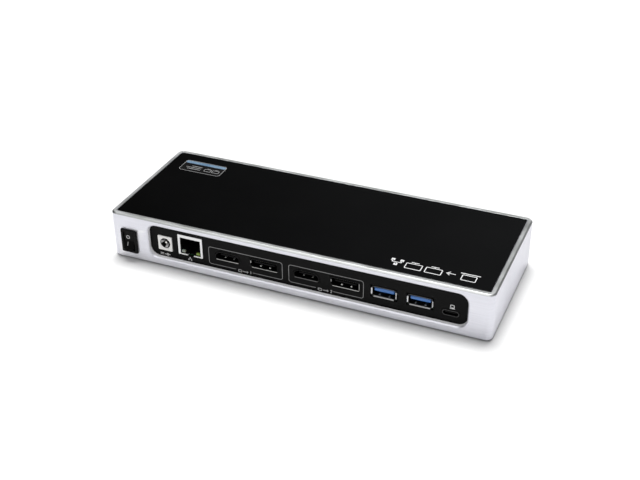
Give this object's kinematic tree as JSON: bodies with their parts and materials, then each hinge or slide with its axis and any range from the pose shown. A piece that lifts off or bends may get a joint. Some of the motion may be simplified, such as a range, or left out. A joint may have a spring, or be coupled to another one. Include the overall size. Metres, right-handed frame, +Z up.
{
  "type": "laptop docking station",
  "caption": "Low metal docking station with a flush black top, a recessed row of video, network, USB and power sockets at the rear, and a rocker power switch.",
  "frame": {"origin": "centre of the bounding box in plan, on the surface the feet stand on", "axes": "+X along the length, to the right as one looks at the sockets; +Y from the rear (socket) face to the front face; +Z up"},
  "size_m": [0.223, 0.0852, 0.029],
  "materials": {
    "aluminium_frame": "brushed, satin anodised",
    "top_plate": "gloss black",
    "bottom_cover": "fine black texture",
    "port_panels": "satin black",
    "feet": "matte black",
    "screws": "blackened zinc",
    "dc_jack_body": "satin off-white",
    "dc_jack_pin": "polished",
    "bright_shells": "nickel plated",
    "dark_shells": "blackened",
    "inserts": "moulded black",
    "usb_tongues": "moulded blue",
    "ethernet_led_left": "clear window",
    "ethernet_led_right": "yellow-green window",
    "light_pipe": "clear",
    "status_led": "green window",
    "switch_plastic": "satin black",
    "switch_spring": "drawn spring steel",
    "switch_contacts": "bright",
    "circuit_board": "green solder mask",
    "chips": "moulded resin",
    "thermal_pad": "soft grey",
    "heatsink": "black anodised",
    "inductor": "sintered ferrite",
    "capacitor": "bare can"
  },
  "bodies": {
    "casing": {"aluminium_frame": "aluminium_frame", "board_screw_1": "screws", "board_screw_2": "screws", "board_screw_3": "screws", "board_screw_4": "screws", "bottom_cover": "bottom_cover", "capacitor": "capacitor", "cover_screw_1": "screws", "cover_screw_2": "screws", "cover_screw_3": "screws", "cover_screw_4": "screws", "dc_jack_body": "dc_jack_body", "dc_jack_pin": "dc_jack_pin", "displayport_shell_1": "dark_shells", "displayport_shell_2": "dark_shells", "displayport_tongue_1": "inserts", "displayport_tongue_2": "inserts", "ethernet_insert": "inserts", "ethernet_led_left": "ethernet_led_left", "ethernet_led_right": "ethernet_led_right", "ethernet_shell": "bright_shells", "ethernet_transformer": "chips", "foot_front_left": "feet", "foot_front_right": "feet", "foot_rear_left": "feet", "foot_rear_right": "feet", "front_port_panel": "port_panels", "graphics_chip": "chips", "hdmi_shell_1": "dark_shells", "hdmi_shell_2": "dark_shells", "hdmi_tongue_1": "inserts", "hdmi_tongue_2": "inserts", "headset_jack": "inserts", "heatsink": "heatsink", "inductor": "inductor", "main_circuit_board": "circuit_board", "rear_port_panel": "port_panels", "status_led": "status_led", "status_light_pipe": "light_pipe", "switch_housing": "switch_plastic", "switch_terminal_common": "switch_contacts", "switch_terminal_switched": "switch_contacts", "thermal_pad": "thermal_pad", "top_plate": "top_plate", "usb_a_shell_1": "bright_shells", "usb_a_shell_2": "bright_shells", "usb_a_shell_front": "bright_shells", "usb_a_tongue_1": "usb_tongues", "usb_a_tongue_2": "usb_tongues", "usb_a_tongue_front": "usb_tongues", "usb_c_shell_front": "dark_shells", "usb_c_shell_host": "dark_shells", "usb_c_tongue_front": "inserts", "usb_c_tongue_host": "inserts", "usb_hub_chip": "chips"},
    "rocker": {"switch_rocker": "switch_plastic", "switch_plunger": "switch_contacts", "switch_spring": "switch_spring"},
    "contact": {"switch_contact": "switch_contacts"}
  },
  "joints": [
    {"name": "power_switch_tilt", "type": "hinge", "parent": "casing", "child": "rocker", "pos_m": [-0.0998, -0.03855, 0.0124], "axis": [1, 0, 0], "range_deg": [0, 24]},
    {"name": "contact_tilt", "type": "hinge", "parent": "casing", "child": "contact", "pos_m": [-0.0998, -0.03225, 0.0124], "axis": [1, 0, 0], "range_deg": [-16.1, 0]}
  ],
  "couplings": [
    {"joint": "contact_tilt", "follows": "power_switch_tilt", "ratio": -0.66667}
  ]
}
